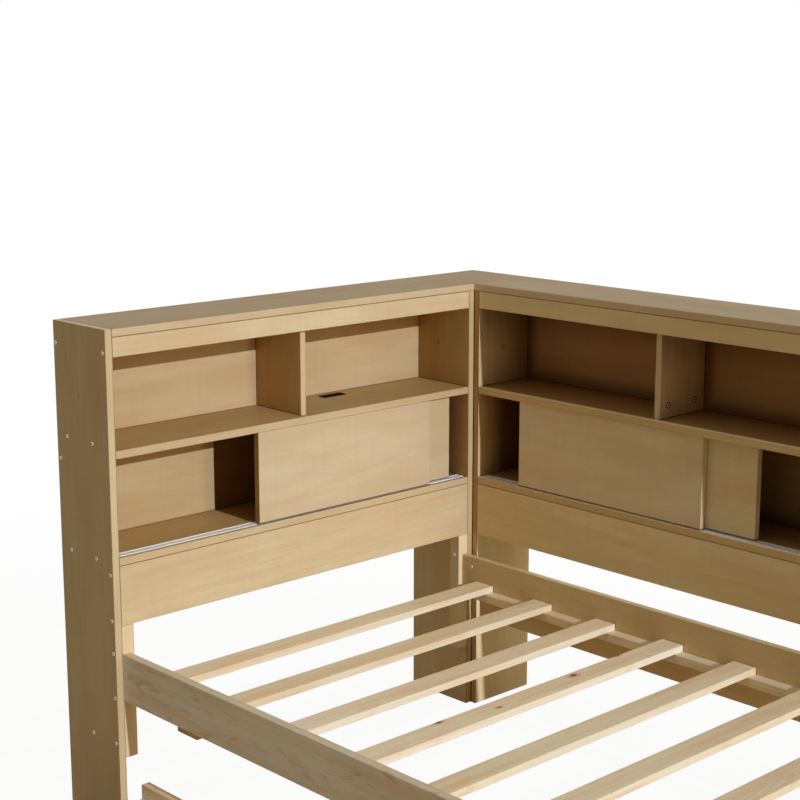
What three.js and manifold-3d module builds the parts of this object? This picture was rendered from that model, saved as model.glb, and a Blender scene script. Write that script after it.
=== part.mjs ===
// Trundle daybed: a head bookcase and a side bookcase that meet in a corner, a slatted bed between
// them, and a slatted trundle that rolls under the bed. Millimetres, +Z up.
// X runs along the bed from the head to the foot, Y from the open front to the wall.
// Everything is laid out from the inner corner, where the front planes of the two bookcases meet,
// and the finished group is moved so that its origin is under the middle of the whole piece.
import * as THREE from 'three';
import { mergeVertices } from 'three/addons/utils/BufferGeometryUtils.js';
import Module from 'manifold-3d';

const wasm = await Module();
wasm.setup();

// Boards
const boardThickness = 17;
const boardEdge = 0.8;

// Both bookcases
const bookcaseHeight = 1083;
const bookcaseDepth = 195;
const fasciaHeight = 42;
const middleShelfTop = 828;
const bottomShelfTop = 599;
const lowerPanelHeight = 131;
const uprightThickness = 15;
const headCornerCubby = 508.5;
const sideCornerCubby = 535.5;
const sideDoorOpening = 1067;

// Sliding doors and their track
const doorThickness = 15;
const doorSetback = 6;
const doorSpacing = 3;
const doorOverlap = 25;
const doorFloorGap = 1.5;
const doorHeadGap = 1.5;
const tongueThickness = 5;
const grooveWidth = 6;
const trackWidth = 29;
const trackThickness = 4;
const trackGrooveDepth = 2.5;
const guideGrooveDepth = 8;
const seatGap = 0.3;
const headFrontDoorAt = 127;
const headRearDoorAt = 43;
const sideFrontDoorAt = 134.5;
const sideRearDoorAt = 266;

// Power outlet let into the head's middle shelf
const outletLength = 69;
const outletWidth = 25.5;
const outletFlange = 1.5;
const outletRim = 2.5;
const outletBodyDepth = 30;
const outletFromCorner = 300.5;
const outletFromFront = 133.5;

// Legs of the head bookcase
const cleatSize = 30;
const cleatBottom = 156;

// Bed frame
const bedLength = 1913;
const mattressGap = 996;
const frontRailThickness = 20;
const frontRailTop = 389;
const frontRailHeight = 104;
const backRailThickness = 17;
const backRailTop = 401;
const backRailHeight = 149;
const backRailNotchLength = 63;
const backRailNotchHeight = 48;
const ledgerWidth = 28;
const ledgerHeight = 21;
const ledgerEndGap = 58;
const slatCount = 10;
const slatWidth = 57;
const slatThickness = 16;
const slatTop = 343;
const slatEndGap = 51.5;
const slatSideGap = 1.5;
const railBlockLength = 66;
const railBlockThickness = 20;
const railBlockDrop = 24;
const railBlockFromHead = 164;
const footPostSize = 45;
const footRailThickness = 20;
const solidWoodEdge = 1;

// Trundle
const trundleMattressGap = 990;
const trundleHeadGap = 55;
const trundleFootGap = 30;
const trundleBoardThickness = 20;
const trundleBoardTop = 114;
const trundleBoardBottom = 16;
const trundleEndThickness = 20;
const trundleEndTop = 82;
const trundleLedgerWidth = 28;
const trundleLedgerHeight = 20;
const trundleSlatCount = 10;
const trundleSlatWidth = 57;
const trundleSlatThickness = 14;
const trundleSlatTop = 80;
const trundleSlatSink = 2;
const trundleSlatEndGap = 60;
const wheelRadius = 30;
const wheelWidth = 22;
const wheelInset = 75;
const wheelRounding = 4;
const rimDraft = 1;
const hubRadius = 12;
const hubRecess = 4;
const axleRadius = 5;
const axleClearance = 0.3;
const axleWasher = 2;
const boltHeadRadius = 9;
const boltHeadHeight = 4;
const roundSides = 32;

// How far a cutting solid runs past the faces that it cuts
const cutterMargin = 5;

// Places worked out from the sizes above, from the corner of the two bookcases
const headOpening = frontRailThickness + mattressGap + backRailThickness;
const headLength = headOpening + 2 * boardThickness;
const sideLength = bedLength + footPostSize;
const shelfUnder = middleShelfTop - boardThickness;
const bottomShelfUnder = bottomShelfTop - boardThickness;
const lowerPanelBottom = bottomShelfUnder - lowerPanelHeight;
const topUnder = bookcaseHeight - boardThickness;
const backFace = bookcaseDepth - boardThickness;
const frontRailOuter = -(headLength - boardThickness);
const frontRailInner = frontRailOuter + frontRailThickness;
const backRailOuter = -boardThickness;
const backRailInner = backRailOuter - backRailThickness;
const slatUnder = slatTop - slatThickness;
const ledgerUnder = slatUnder - ledgerHeight;

const birch = new THREE.MeshStandardMaterial({ color: 0xd3b98f, roughness: 0.5, metalness: 0 });
const birchInside = new THREE.MeshStandardMaterial({ color: 0xc8aa7c, roughness: 0.55, metalness: 0 });
const pine = new THREE.MeshStandardMaterial({ color: 0xe3cba3, roughness: 0.65, metalness: 0 });
const trackPlastic = new THREE.MeshStandardMaterial({ color: 0xd6d6de, roughness: 0.4, metalness: 0 });
const blackPlastic = new THREE.MeshStandardMaterial({ color: 0x16161a, roughness: 0.45, metalness: 0 });
const wheelPlastic = new THREE.MeshStandardMaterial({ color: 0x2b2b2e, roughness: 0.5, metalness: 0 });
const zincSteel = new THREE.MeshStandardMaterial({ color: 0xb9bcc0, roughness: 0.35, metalness: 1 });

// A box between two corners, with all its edges chamfered by edge.
function box([x0, x1], [y0, y1], [z0, z1], edge = 0) {
  const outline = new THREE.Shape();
  outline.moveTo(x0 + edge, y0 + edge);
  outline.lineTo(x1 - edge, y0 + edge);
  outline.lineTo(x1 - edge, y1 - edge);
  outline.lineTo(x0 + edge, y1 - edge);
  outline.closePath();
  const geometry = new THREE.ExtrudeGeometry(outline, {
    depth: z1 - z0 - 2 * edge,
    bevelEnabled: edge > 0,
    bevelThickness: edge,
    bevelSize: edge,
    bevelSegments: 1,
  });
  return geometry.translate(0, 0, z0 + edge);
}

function toSolid(geometry) {
  const bare = geometry.clone().deleteAttribute('normal').deleteAttribute('uv');
  const merged = mergeVertices(bare, 1e-4);
  const mesh = new wasm.Mesh({
    numProp: 3,
    vertProperties: new Float32Array(merged.attributes.position.array),
    triVerts: new Uint32Array(merged.index.array),
  });
  mesh.merge();
  return new wasm.Manifold(mesh);
}

function toGeometry(solid) {
  const mesh = solid.getMesh();
  const geometry = new THREE.BufferGeometry();
  geometry.setAttribute('position', new THREE.BufferAttribute(new Float32Array(mesh.vertProperties), 3));
  geometry.setIndex(new THREE.BufferAttribute(new Uint32Array(mesh.triVerts), 1));
  geometry.computeVertexNormals();
  return geometry;
}

function cut(geometry, ...cutters) {
  return toGeometry(cutters.reduce((solid, cutter) => solid.subtract(toSolid(cutter)), toSolid(geometry)));
}

function join(first, ...others) {
  return toGeometry(others.reduce((solid, other) => solid.add(toSolid(other)), toSolid(first)));
}

function add(group, name, geometry, material) {
  const mesh = new THREE.Mesh(geometry, material);
  mesh.name = name;
  group.add(mesh);
  return mesh;
}

// A bookcase is laid out by the distance along it from the corner and the distance back from its
// front plane. The side bookcase runs along +X and the head bookcase along -Y.
const layouts = {
  side: (along, back, up, edge) => box(along, back, up, edge),
  head: (along, back, up, edge) => box([-back[1], -back[0]], [-along[1], -along[0]], up, edge),
};

const doorRows = [doorSetback, doorSetback + doorThickness + doorSpacing];
const doorCentres = doorRows.map((row) => row + doorThickness / 2);
const trackCentre = (doorCentres[0] + doorCentres[1]) / 2;
const trackBack = [trackCentre - trackWidth / 2, trackCentre + trackWidth / 2];

function doorGrooves(board, along, up) {
  return doorCentres.map((centre) => board(along, [centre - grooveWidth / 2, centre + grooveWidth / 2], up));
}

// The end panel that stands at the corner. Its upper part is notched for the back panel, which runs
// on to close the hidden corner; its lower part is a leg of full depth.
function cornerPanel(board) {
  return cut(
    board([0, boardThickness], [0, bookcaseDepth], [0, topUnder], boardEdge),
    board(
      [-cutterMargin, boardThickness + cutterMargin],
      [backFace, bookcaseDepth + cutterMargin],
      [bottomShelfUnder, topUnder + cutterMargin],
    ),
  );
}

// One door: a flat panel whose top and bottom edges are rebated to tongues that run in the guides.
function door(board, along, row) {
  const centre = row + doorThickness / 2;
  const bodyBottom = bottomShelfTop + doorFloorGap;
  const bodyTop = shelfUnder - doorHeadGap;
  const tongueBottom = bottomShelfTop - trackGrooveDepth + seatGap;
  const tongueTop = shelfUnder + guideGrooveDepth - doorHeadGap;
  const wide = [along[0] - cutterMargin, along[1] + cutterMargin];
  const shoulders = [
    [row - cutterMargin, centre - tongueThickness / 2],
    [centre + tongueThickness / 2, row + doorThickness + cutterMargin],
  ].flatMap((back) => [
    board(wide, back, [tongueBottom - cutterMargin, bodyBottom]),
    board(wide, back, [bodyTop, tongueTop + cutterMargin]),
  ]);
  const blank = board(along, [row, row + doorThickness], [tongueBottom, tongueTop], boardEdge);
  return cut(blank, ...shoulders);
}

// The boards that both bookcases have. length is measured from the corner plane to the outside of
// the far end panel, opening is the far side of the door opening.
function bookcase(prefix, length, opening, doorPlaces, topStart, backStart, shelfCuts) {
  const group = new THREE.Group();
  const board = layouts[prefix];
  const inside = [boardThickness, length - boardThickness];
  const farEnd = [length - boardThickness, length];
  const depth = [0, backFace];
  const front = [0, boardThickness];
  const put = (name, geometry, material = birch) => add(group, `${prefix}_${name}`, geometry, material);
  const trackAlong = [boardThickness, opening];

  put('corner_panel', cornerPanel(board));
  put('end_panel', board(farEnd, [0, bookcaseDepth], [0, bookcaseHeight], boardEdge));
  put('top_board', board([topStart, inside[1]], [0, bookcaseDepth], [topUnder, bookcaseHeight], boardEdge));
  put('fascia', board(inside, front, [topUnder - fasciaHeight, topUnder], boardEdge));
  put('back_panel', board([backStart, inside[1]], [backFace, bookcaseDepth], [bottomShelfUnder, topUnder],
    boardEdge), birchInside);
  put('lower_panel', board(inside, front, [lowerPanelBottom, bottomShelfUnder], boardEdge));
  put('middle_shelf', cut(
    board(inside, depth, [shelfUnder, middleShelfTop], boardEdge),
    ...doorGrooves(board, trackAlong, [shelfUnder - guideGrooveDepth, shelfUnder + guideGrooveDepth]),
    ...shelfCuts,
  ));
  put('bottom_shelf', cut(
    board(inside, depth, [bottomShelfUnder, bottomShelfTop], boardEdge),
    board(trackAlong, trackBack, [bottomShelfTop - trackThickness, bottomShelfTop + trackThickness]),
  ));
  const trackGrooveUp = [bottomShelfTop - trackGrooveDepth, bottomShelfTop + trackGrooveDepth];
  put('door_track', cut(
    board(trackAlong, trackBack, [bottomShelfTop - trackThickness, bottomShelfTop]),
    ...doorGrooves(board, [0, length], trackGrooveUp),
  ), trackPlastic);

  const doorWidth = (opening - boardThickness + doorOverlap) / 2;
  ['front_door', 'rear_door'].forEach((name, i) => {
    const start = boardThickness + doorPlaces[i];
    put(name, door(board, [start, start + doorWidth], doorRows[i]));
  });
  return group;
}

// A short upright between the middle shelf and the top. It is a plain board that stands behind the
// fascia, so its front edge lies back from the front plane by the fascia's thickness.
function upperDivider(board, start) {
  return board([start, start + uprightThickness], [boardThickness, backFace], [middleShelfTop, topUnder],
    boardEdge);
}

function outletGeometry(board) {
  const along = [outletFromCorner, outletFromCorner + outletLength];
  const back = [outletFromFront, outletFromFront + outletWidth];
  const face = board(along, back, [middleShelfTop, middleShelfTop + outletFlange], outletFlange / 4);
  const body = board(
    [along[0] + outletRim, along[1] - outletRim],
    [back[0] + outletRim, back[1] - outletRim],
    [middleShelfTop - outletBodyDepth, middleShelfTop + outletFlange / 2],
  );
  return join(face, body);
}

function outletCutout(board) {
  const margin = outletRim - seatGap;
  return board(
    [outletFromCorner + margin, outletFromCorner + outletLength - margin],
    [outletFromFront + margin, outletFromFront + outletWidth - margin],
    [shelfUnder - boardThickness, middleShelfTop + boardThickness],
  );
}

function headBookcase() {
  const board = layouts.head;
  const group = bookcase('head', headLength, headLength - boardThickness, [headFrontDoorAt, headRearDoorAt],
    -bookcaseDepth, -bookcaseDepth, [outletCutout(board)]);
  const put = (name, geometry, material = birch) => add(group, name, geometry, material);
  put('head_divider', upperDivider(board, boardThickness + headCornerCubby));
  put('power_outlet', outletGeometry(board), blackPlastic);
  const farInside = headLength - boardThickness;
  const cleats = {
    head_corner_leg_cleat: [boardThickness, boardThickness + cleatSize],
    head_front_leg_cleat: [farInside - cleatSize, farInside],
  };
  for (const [name, along] of Object.entries(cleats)) {
    put(name, board(along, [0, cleatSize], [cleatBottom, lowerPanelBottom], solidWoodEdge));
  }
  return group;
}

function sideBookcase() {
  const board = layouts.side;
  const partitionStart = boardThickness + sideDoorOpening;
  const partition = [partitionStart, partitionStart + uprightThickness];
  const group = bookcase('side', sideLength, partitionStart, [sideFrontDoorAt, sideRearDoorAt],
    0, -backFace, []);
  add(group, 'side_divider', upperDivider(board, boardThickness + sideCornerCubby), birch);
  add(group, 'side_upper_partition', upperDivider(board, partitionStart), birch);
  add(group, 'side_lower_partition', board(partition, [doorSetback, backFace], [bottomShelfTop, shelfUnder],
    boardEdge), birch);
  return group;
}

// The back rail is deeper than the front one. Its head end is cut away below, so that it passes over
// the foot of the corner.
function backRail() {
  const up = [backRailTop - backRailHeight, backRailTop];
  const across = [backRailInner, backRailOuter];
  return cut(
    box([0, bedLength], across, up, solidWoodEdge),
    box(
      [-cutterMargin, backRailNotchLength],
      [across[0] - cutterMargin, across[1] + cutterMargin],
      [up[0] - cutterMargin, up[0] + backRailNotchHeight],
    ),
  );
}

// Rails, ledgers, slats and foot end of the bed, which hang on the head's leg cleats.
function bedFrame() {
  const group = new THREE.Group();
  const put = (name, x, y, z, material = pine) => add(group, name, box(x, y, z, solidWoodEdge), material);
  const along = [0, bedLength];
  const ledgerAlong = [ledgerEndGap, bedLength - ledgerEndGap];
  const ledgerUp = [ledgerUnder, slatUnder];
  const frontRailUp = [frontRailTop - frontRailHeight, frontRailTop];

  put('front_rail', along, [frontRailOuter, frontRailInner], frontRailUp);
  add(group, 'back_rail', backRail(), birch);
  put('front_ledger', ledgerAlong, [frontRailInner, frontRailInner + ledgerWidth], ledgerUp);
  put('back_ledger', ledgerAlong, [backRailInner - ledgerWidth, backRailInner], ledgerUp);
  put('rail_block', [railBlockFromHead, railBlockFromHead + railBlockLength],
    [frontRailInner, frontRailInner + railBlockThickness],
    [frontRailUp[0] - railBlockDrop, ledgerUnder], birch);

  const slatPitch = (bedLength - 2 * slatEndGap - slatWidth) / (slatCount - 1);
  for (let i = 0; i < slatCount; i += 1) {
    const start = slatEndGap + i * slatPitch;
    put(`slat_${i + 1}`, [start, start + slatWidth],
      [frontRailInner + slatSideGap, backRailInner - slatSideGap], [slatUnder, slatTop]);
  }

  const post = [bedLength, bedLength + footPostSize];
  put('foot_front_post', post, [frontRailOuter, frontRailOuter + footPostSize], [0, frontRailTop]);
  put('foot_back_post', post, [backRailOuter - footPostSize, backRailOuter], [0, backRailTop]);
  put('foot_rail', [post[1] - footRailThickness, post[1]],
    [frontRailOuter + footPostSize, backRailOuter - footPostSize], frontRailUp);
  return group;
}

// The trundle is laid out from the outer face of its back board and its head end, on the floor, so
// all of it lies on the -Y side.
const trundleLength = bedLength - trundleHeadGap - trundleFootGap;
const trundleDepth = trundleMattressGap + 2 * trundleBoardThickness;
const trundleInner = [trundleBoardThickness - trundleDepth, -trundleBoardThickness];

// A round solid turned about X, from [distance along X, radius] points.
function turned(points, sides = roundSides) {
  const profile = points.map(([along, radius]) => new THREE.Vector2(radius, along));
  return new THREE.LatheGeometry(profile, sides).rotateZ(-Math.PI / 2);
}

// A wheel with a recess on both sides between its hub and its rim, and a rim with rounded edges.
function wheelGeometry() {
  const half = wheelWidth / 2;
  const bore = axleRadius + axleClearance;
  const web = half - hubRecess;
  const rimInner = wheelRadius - 2 * wheelRounding;
  const midRound = wheelRounding * (1 - Math.SQRT1_2);
  const oneSide = [
    [half, bore], [half, hubRadius], [web, hubRadius + hubRecess], [web, rimInner],
    [half, rimInner + rimDraft], [half, wheelRadius - wheelRounding],
    [half - midRound, wheelRadius - midRound], [half - wheelRounding, wheelRadius],
  ];
  const otherSide = oneSide.map(([along, radius]) => [-along, radius]);
  return turned([...otherSide, ...oneSide.reverse(), otherSide[0]]);
}

// A bolt through the end board that carries a wheel, with its head outside and a locked nut inside.
// Its zero is the outside of the end board.
function axleGeometry() {
  const wheelEnd = trundleEndThickness + axleWasher + wheelWidth;
  const nutStart = wheelEnd + axleClearance;
  const nutEnd = nutStart + boltHeadHeight;
  const dome = boltHeadHeight / 2;
  return turned([
    [-axleClearance - boltHeadHeight, 0], [-axleClearance - boltHeadHeight, boltHeadRadius - dome],
    [-axleClearance - dome, boltHeadRadius], [-axleClearance, boltHeadRadius], [-axleClearance, axleRadius],
    [trundleEndThickness + axleClearance, axleRadius], [trundleEndThickness + axleClearance, boltHeadRadius],
    [trundleEndThickness + axleWasher - axleClearance, boltHeadRadius],
    [trundleEndThickness + axleWasher - axleClearance, axleRadius],
    [nutStart, axleRadius], [nutStart, boltHeadRadius], [nutEnd, boltHeadRadius], [nutEnd, 0],
  ]);
}

function trundleDeck() {
  const ledgerTop = trundleSlatTop - trundleSlatThickness + trundleSlatSink;
  const ledgerUp = [ledgerTop - trundleLedgerHeight, ledgerTop];
  const length = [trundleEndThickness, trundleLength - trundleEndThickness];
  const slatY = [trundleInner[0] + slatSideGap, trundleInner[1] - slatSideGap];
  const pitch = (trundleLength - 2 * trundleSlatEndGap - trundleSlatWidth) / (trundleSlatCount - 1);
  const slats = Array.from({ length: trundleSlatCount }, (_, i) => {
    const start = trundleSlatEndGap + i * pitch;
    return box([start, start + trundleSlatWidth], slatY,
      [trundleSlatTop - trundleSlatThickness, trundleSlatTop], solidWoodEdge);
  });
  return join(
    box(length, [trundleInner[0], trundleInner[0] + trundleLedgerWidth], ledgerUp),
    box(length, [trundleInner[1] - trundleLedgerWidth, trundleInner[1]], ledgerUp),
    ...slats,
  );
}

function trundleEnd(outside, inside, wheelYs) {
  const holes = wheelYs.map((y) => {
    const hole = turned([
      [-trundleEndThickness, 0], [-trundleEndThickness, axleRadius + axleClearance],
      [trundleEndThickness, axleRadius + axleClearance], [trundleEndThickness, 0],
    ]);
    return hole.translate((outside + inside) / 2, y, wheelRadius);
  });
  const x = [Math.min(outside, inside), Math.max(outside, inside)];
  return cut(box(x, trundleInner, [trundleBoardBottom, trundleEndTop], solidWoodEdge), ...holes);
}

function trundle() {
  const group = new THREE.Group();
  const along = [0, trundleLength];
  const boardUp = [trundleBoardBottom, trundleBoardTop];
  const put = (name, geometry, material = pine) => add(group, name, geometry, material);
  put('trundle_front_board', box(along, [-trundleDepth, trundleInner[0]], boardUp, solidWoodEdge));
  put('trundle_back_board', box(along, [trundleInner[1], 0], boardUp, solidWoodEdge));
  put('trundle_slat_deck', trundleDeck());

  const wheelYs = { front: trundleInner[0] + wheelInset, back: trundleInner[1] - wheelInset };
  const ends = {
    head: { outside: 0, inward: 1 },
    foot: { outside: trundleLength, inward: -1 },
  };
  for (const [end, { outside, inward }] of Object.entries(ends)) {
    put(`trundle_${end}_board`,
      trundleEnd(outside, outside + inward * trundleEndThickness, Object.values(wheelYs)));
    for (const [side, y] of Object.entries(wheelYs)) {
      const wheelX = outside + inward * (trundleEndThickness + axleWasher + wheelWidth / 2);
      put(`trundle_${end}_${side}_wheel`, wheelGeometry(), wheelPlastic).position.set(wheelX, y, wheelRadius);
      const axle = put(`trundle_${end}_${side}_axle`, axleGeometry(), zincSteel);
      axle.position.set(outside, y, wheelRadius);
      axle.rotation.z = inward > 0 ? 0 : Math.PI;
    }
  }
  // Rolled out, the back board stands right under the bed's front rail
  group.position.set(trundleHeadGap, frontRailInner, 0);
  return group;
}

const daybed = new THREE.Group();
daybed.add(headBookcase(), sideBookcase(), bedFrame(), trundle());

const trundleFront = frontRailInner - trundleDepth;
daybed.position.set((bookcaseDepth - sideLength) / 2, -(trundleFront + bookcaseDepth) / 2, 0);

export default daybed;
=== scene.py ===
# Trundle daybed: woods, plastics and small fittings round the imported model, then floor, light and camera
import math

import bmesh
import bpy
import numpy as np
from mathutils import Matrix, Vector


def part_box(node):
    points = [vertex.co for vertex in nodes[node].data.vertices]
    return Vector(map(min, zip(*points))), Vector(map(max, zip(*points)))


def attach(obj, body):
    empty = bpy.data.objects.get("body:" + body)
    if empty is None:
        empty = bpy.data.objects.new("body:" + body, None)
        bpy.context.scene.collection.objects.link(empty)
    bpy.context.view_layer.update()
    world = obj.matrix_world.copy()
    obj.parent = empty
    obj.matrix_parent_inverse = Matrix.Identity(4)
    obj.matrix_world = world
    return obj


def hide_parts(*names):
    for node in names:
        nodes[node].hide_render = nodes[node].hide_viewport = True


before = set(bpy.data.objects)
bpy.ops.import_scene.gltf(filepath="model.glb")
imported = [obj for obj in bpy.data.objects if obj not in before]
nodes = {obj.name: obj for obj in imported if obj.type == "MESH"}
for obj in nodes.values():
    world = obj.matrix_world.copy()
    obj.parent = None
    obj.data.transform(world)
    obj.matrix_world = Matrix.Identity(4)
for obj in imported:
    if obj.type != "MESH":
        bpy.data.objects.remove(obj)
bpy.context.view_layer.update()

innerCorner = np.array([*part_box("head_corner_panel")[1]][:2] + [0.0])  # where the bookcase fronts meet
print("frame loaded,", len(nodes), "nodes")

# Camera: the photograph's own viewpoint, measured from the inner corner of the two bookcases
camera = {"place": (2.8504, -2.9172, 1.6114), "turn": 46.888, "tilt": -11.368, "lens": 75.36, "sensor": 36.0}
lens = bpy.data.cameras.new("camera")
lens.lens = camera["lens"]
lens.sensor_width = camera["sensor"]
viewer = bpy.data.objects.new("camera", lens)
bpy.context.scene.collection.objects.link(viewer)
viewer.location = innerCorner + camera["place"]
viewer.rotation_euler = (math.radians(90 + camera["tilt"]), 0, math.radians(camera["turn"]))
bpy.context.scene.camera = viewer


class Tree:
    # A short way to add nodes: numbers and colours go to a socket, sockets are linked

    def __init__(self, nodeTree):
        self.tree = nodeTree
        nodeTree.nodes.clear()

    def add(self, kind, settings=None, **inputs):
        # An input is given by its socket's name, or by i and its number
        node = self.tree.nodes.new(kind)
        for key, value in (settings or {}).items():
            setattr(node, key, value)
        for key, value in inputs.items():
            numbered = key[0] == "i" and key[1:].isdigit()
            self.put(node.inputs[int(key[1:]) if numbered else key], value)
        return node

    def put(self, socket, value):
        if isinstance(value, bpy.types.NodeSocket):
            self.tree.links.new(value, socket)
        else:
            socket.default_value = value

    def math(self, operation, a, b=0.0):
        return self.add("ShaderNodeMath", {"operation": operation}, i0=a, i1=b).outputs[0]

    def vector(self, operation, a, b=(0, 0, 0)):
        node = self.add("ShaderNodeVectorMath", {"operation": operation}, i0=a, i1=b)
        return node.outputs["Value" if operation == "LENGTH" else "Vector"]

    def noise(self, vector, scale, detail=2.0, roughness=0.5, distortion=0.0):
        return self.add("ShaderNodeTexNoise", None, Vector=vector, Scale=scale, Detail=detail,
                        Roughness=roughness, Distortion=distortion).outputs[0]

    def remap(self, value, low, high, toLow=0.0, toHigh=1.0, smooth=True):
        settings = {"interpolation_type": "SMOOTHSTEP" if smooth else "LINEAR", "clamp": True}
        ends = {"i1": low, "i2": high, "i3": toLow, "i4": toHigh}
        return self.add("ShaderNodeMapRange", settings, Value=value, **ends).outputs[0]

    def mix(self, factor, a, b, blend="MIX"):
        # Inputs 6 and 7 are the node's two colours, and output 2 is the mixed one
        settings = {"data_type": "RGBA", "blend_type": blend, "clamp_factor": True}
        return self.add("ShaderNodeMix", settings, i0=factor, i6=a, i7=b).outputs[2]

    def tinted(self, colour, tint):
        # A colour times a tint, which is three numbers or another colour's socket
        return self.mix(1.0, colour, (*tint, 1.0) if isinstance(tint, tuple) else tint, "MULTIPLY")

    def surface(self, **inputs):
        named = {key.replace("_", " "): value for key, value in inputs.items()}
        shader = self.add("ShaderNodeBsdfPrincipled", None, **named)
        self.add("ShaderNodeOutputMaterial", None, Surface=shader.outputs[0])


# The screen's curve: straight up to a level, and a power past it
screen = {"straightTo": 10, "straight": 3294.6, "offset": 0.055, "power": 2.4}
black = (0.0, 0.0, 0.0, 1.0)
white = (1.0, 1.0, 1.0, 1.0)


def linear(red, green, blue):
    # 0 to 255 screen values to the linear values that a shader wants
    offset = screen["offset"]
    values = []
    for level in (red, green, blue):
        curved = ((level / 255 + offset) / (1 + offset)) ** screen["power"]
        values.append(level / screen["straight"] if level <= screen["straightTo"] else curved)
    return (*values, 1.0)


def newMaterial(name):
    material = bpy.data.materials.new(name)
    material.use_nodes = True
    return material, Tree(material.node_tree)


# Turning that brings the grain's direction to X
grainTurn = {"x": (0, 0, 0), "y": (0, 0, -math.pi / 2), "z": (0, math.pi / 2, 0)}


def grainSpace(tree, grain, shift):
    place = tree.add("ShaderNodeTexCoord").outputs["Object"]
    turned = tree.add("ShaderNodeMapping", {"vector_type": "POINT"}, Vector=place, Rotation=grainTurn[grain])
    return place, tree.vector("ADD", turned.outputs[0], shift)


def grainNoise(tree, along, pattern):
    # A noise stretched along the grain: "often" is how many times it changes in a metre, along and across
    lengthwise, across = pattern["often"]
    stretched = tree.vector("MULTIPLY", along, (lengthwise, across, across))
    return tree.noise(stretched, 1.0, pattern["detail"], pattern.get("rough", 0.5), pattern.get("bend", 0.0))


def grainLayer(tree, colour, noise, pattern, palette, share=None):
    # One of the palette's colours comes in, up to its share, where the noise rises through the span "from"
    amount = tree.remap(noise, *pattern["from"], 0.0, pattern["share"] if share is None else share)
    return tree.mix(amount, colour, palette[pattern["colour"]])


def grainFinish(tree, colour, fibre, others, finish):
    # The fibre and a share of the others stand out as a fine relief, and the fibre varies the gloss
    raised = tree.math("MULTIPLY", fibre, finish["fibre"])
    relief = tree.math("ADD", raised, tree.math("MULTIPLY", others, finish["others"]))
    bump = tree.add("ShaderNodeBump", None, Strength=finish["bump"], Distance=finish["depth"], Height=relief)
    gloss = tree.remap(fibre, *finish["glossFrom"], *finish["gloss"])
    return {"Base_Color": colour, "Roughness": gloss, "Normal": bump.outputs[0]}


def wallDistances(tree, place, low, high):
    # How far a point lies inside each of the six faces of a box, negative outside it
    toLow = tree.add("ShaderNodeSeparateXYZ", None, Vector=tree.vector("SUBTRACT", place, tuple(low)))
    toHigh = tree.add("ShaderNodeSeparateXYZ", None, Vector=tree.vector("SUBTRACT", tuple(high), place))
    away = {f"{axis}-": toLow.outputs[axis.upper()] for axis in "xyz"}
    away.update({f"{axis}+": toHigh.outputs[axis.upper()] for axis in "xyz"})
    return away


def middleOfThree(tree, away):
    # The nearest face is the one that the point lies on, so the second nearest gives the distance to an edge
    x, y, z = (tree.math("MINIMUM", away[f"{axis}-"], away[f"{axis}+"]) for axis in "xyz")
    less, more = tree.math("MINIMUM", x, y), tree.math("MAXIMUM", x, y)
    return tree.math("MAXIMUM", less, tree.math("MINIMUM", more, z))


farAway = 9.0  # metres, past every face and knot

# Painted shade in the hollows: in their inner corners, in metres from the corner, and under their ceilings.
# The painted light and shade sets in from a share of a hollow's mouth.
nook = {"colour": linear(62, 32, 8), "line": 0.75, "lineFrom": 0.00136, "lineTo": 0.0034,
        "cornerShade": (0.36, 0.31, 0.28), "softFrom": 0.004, "softTo": 0.046,
        "ceilingNear": 0.045, "ceilingFar": 0.155, "zoneEdge": 0.0005, "mouthFrom": 0.2}


def paintLightZones(tree, place, colour, zones):
    # Painted light and shade: each zone is a box with an edge a millimetre soft, in which the colour is
    # multiplied by a tint for how the light falls there. In a hollow the tint goes by depth from the one at
    # its mouth to the one at its back.
    for low, high, tint, hollow in zones:
        away = wallDistances(tree, place, low, high)
        nearest, *others = away.values()
        for other in others:
            nearest = tree.math("MINIMUM", nearest, other)
        share = tree.remap(nearest, -nook["zoneEdge"], nook["zoneEdge"])
        if not hollow:
            colour = tree.mix(share, colour, tree.tinted(colour, tint))
            continue
        depth = away[hollow["openSide"]]
        mouth, back = (*tint[0], 1.0), (*tint[1], 1.0)
        tint = tree.mix(tree.remap(depth, 0.0, hollow["reach"], smooth=False), mouth, back)
        within = tree.remap(depth, hollow["mouth"] * nook["mouthFrom"], hollow["mouth"])
        share = tree.math("MULTIPLY", share, within)
        colour = tree.mix(share, colour, tree.tinted(colour, tint))
        colour = nookShade(tree, colour, share, away, hollow)
    return colour


def nookShade(tree, colour, share, away, hollow):
    # A hollow's upper part gets painted shade, darker where its ceiling share is under 1, and its inner
    # corners get painted shade: a soft darkening and a fine dark line. Its open side has no corner.
    if hollow["ceiling"] < 1.0:
        near, far = nook["ceilingNear"], nook["ceilingFar"]
        gloom = tree.remap(away["z+"], near, far, 1.0 - hollow["ceiling"], 0.0)
        colour = tree.mix(tree.math("MULTIPLY", share, gloom), colour, black)
    corner = middleOfThree(tree, {**away, hollow["openSide"]: farAway})
    soft = tree.remap(corner, nook["softFrom"], nook["softTo"], hollow["soft"], 0.0)
    colour = tree.mix(tree.math("MULTIPLY", share, soft), colour, tree.tinted(colour, nook["cornerShade"]))
    line = tree.remap(corner, nook["lineFrom"], nook["lineTo"], nook["line"], 0.0)
    return tree.mix(tree.math("MULTIPLY", share, line), colour, nook["colour"])


# Lines along a board's edges, in metres from the edge
arris = {
    "handled": {"colour": linear(150, 116, 74), "from": 0.0003, "to": 0.0018, "share": 0.13},
    "joint": {"colour": linear(112, 68, 30), "from": 0.00091, "to": 0.00143, "share": 0.62},
    "seam": {"colour": linear(30, 17, 8), "from": 0.0028, "to": 0.0040, "share": 0.85},
}


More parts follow.
